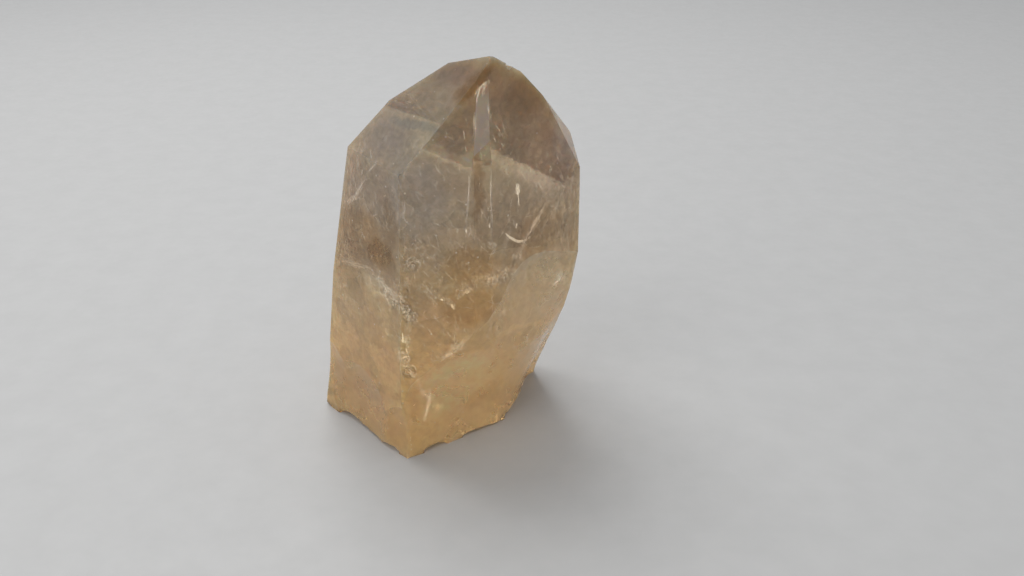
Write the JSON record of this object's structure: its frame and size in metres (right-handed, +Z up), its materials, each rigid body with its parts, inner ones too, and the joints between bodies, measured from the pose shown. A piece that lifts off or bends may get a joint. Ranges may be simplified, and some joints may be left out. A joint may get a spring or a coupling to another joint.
{
  "type": "crystal point",
  "caption": "Natural citrine quartz point, a faceted prism with a slanting tip and a broken foot that it stands on.",
  "frame": {"origin": "middle of the box of the crystal, on the level of its flat foot", "axes": "+Z up towards the tip, -Y towards the front, where the two broad prism faces meet the broken right flank"},
  "size_m": [0.0466, 0.0342, 0.07],
  "materials": {
    "citrine": "clear to milky quartz, smoky grey-brown at the tip and honey-coloured at the foot"
  },
  "bodies": {
    "root": {"crystal_point": "citrine"}
  },
  "joints": []
}
